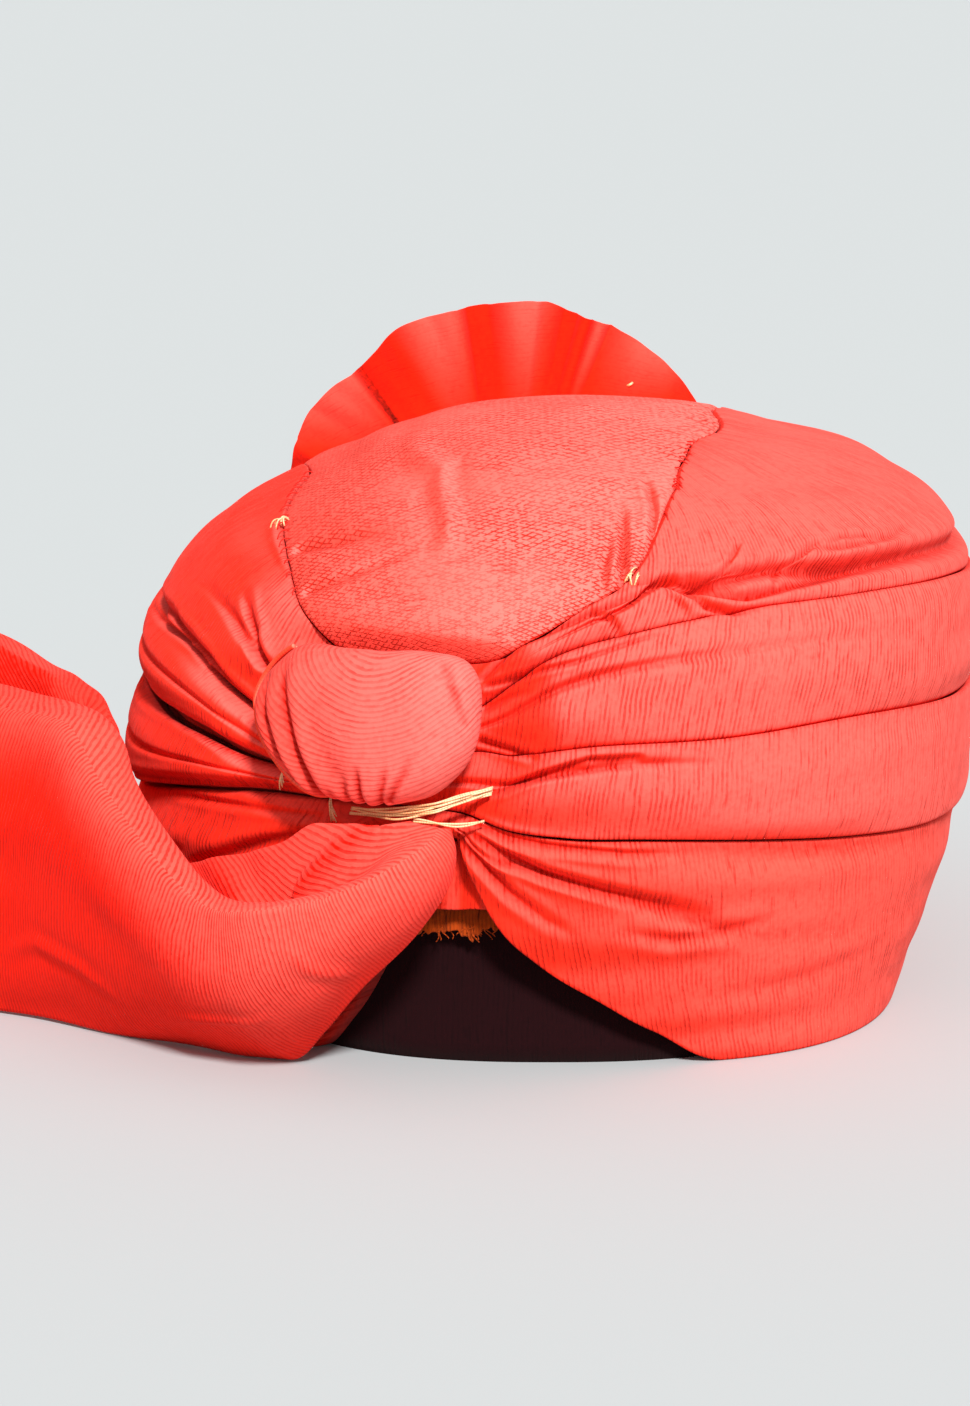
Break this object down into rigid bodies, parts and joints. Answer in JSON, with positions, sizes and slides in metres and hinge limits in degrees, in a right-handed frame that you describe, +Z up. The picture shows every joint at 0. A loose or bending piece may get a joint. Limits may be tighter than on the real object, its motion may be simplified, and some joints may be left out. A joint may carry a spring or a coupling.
{
  "type": "tied turban",
  "caption": "Ready-tied cotton turban: wraps wound round a domed cap, a puffed knot held by thread at the front, a pleated fan standing at the back and a loose tail at one side.",
  "frame": {"origin": "middle of the head opening, on the plane of the rim that the turban rests on", "axes": "+Z up out of the surface, -Y towards the side with the knot and the tail, +X to the right as seen from that side"},
  "size_m": [0.3047, 0.2694, 0.169],
  "materials": {
    "inner_cap": "matt dark maroon cotton",
    "crown_panel": "fine matt cotton weave",
    "wrap_1": "matt cotton with fine cross ribs",
    "wrap_2": "matt cotton with fine cross ribs",
    "wrap_3": "matt cotton with fine cross ribs",
    "wrap_4": "matt cotton with fine cross ribs",
    "knot": "matt cotton with fine cross ribs",
    "tie_thread": "gold thread, slightly shiny",
    "under_wrap": "matt cotton",
    "lining_edge": "frayed orange-brown cotton",
    "fan": "matt thin cotton, pressed in pleats",
    "tail": "matt thin cotton with fine cross ribs"
  },
  "bodies": {
    "root": {"inner_cap": "inner_cap", "crown_panel": "crown_panel", "wrap_1": "wrap_1", "wrap_2": "wrap_2", "wrap_3": "wrap_3", "wrap_4": "wrap_4", "knot": "knot", "tie_thread": "tie_thread", "under_wrap": "under_wrap", "lining_edge": "lining_edge", "fan": "fan", "tail": "tail"}
  },
  "joints": []
}
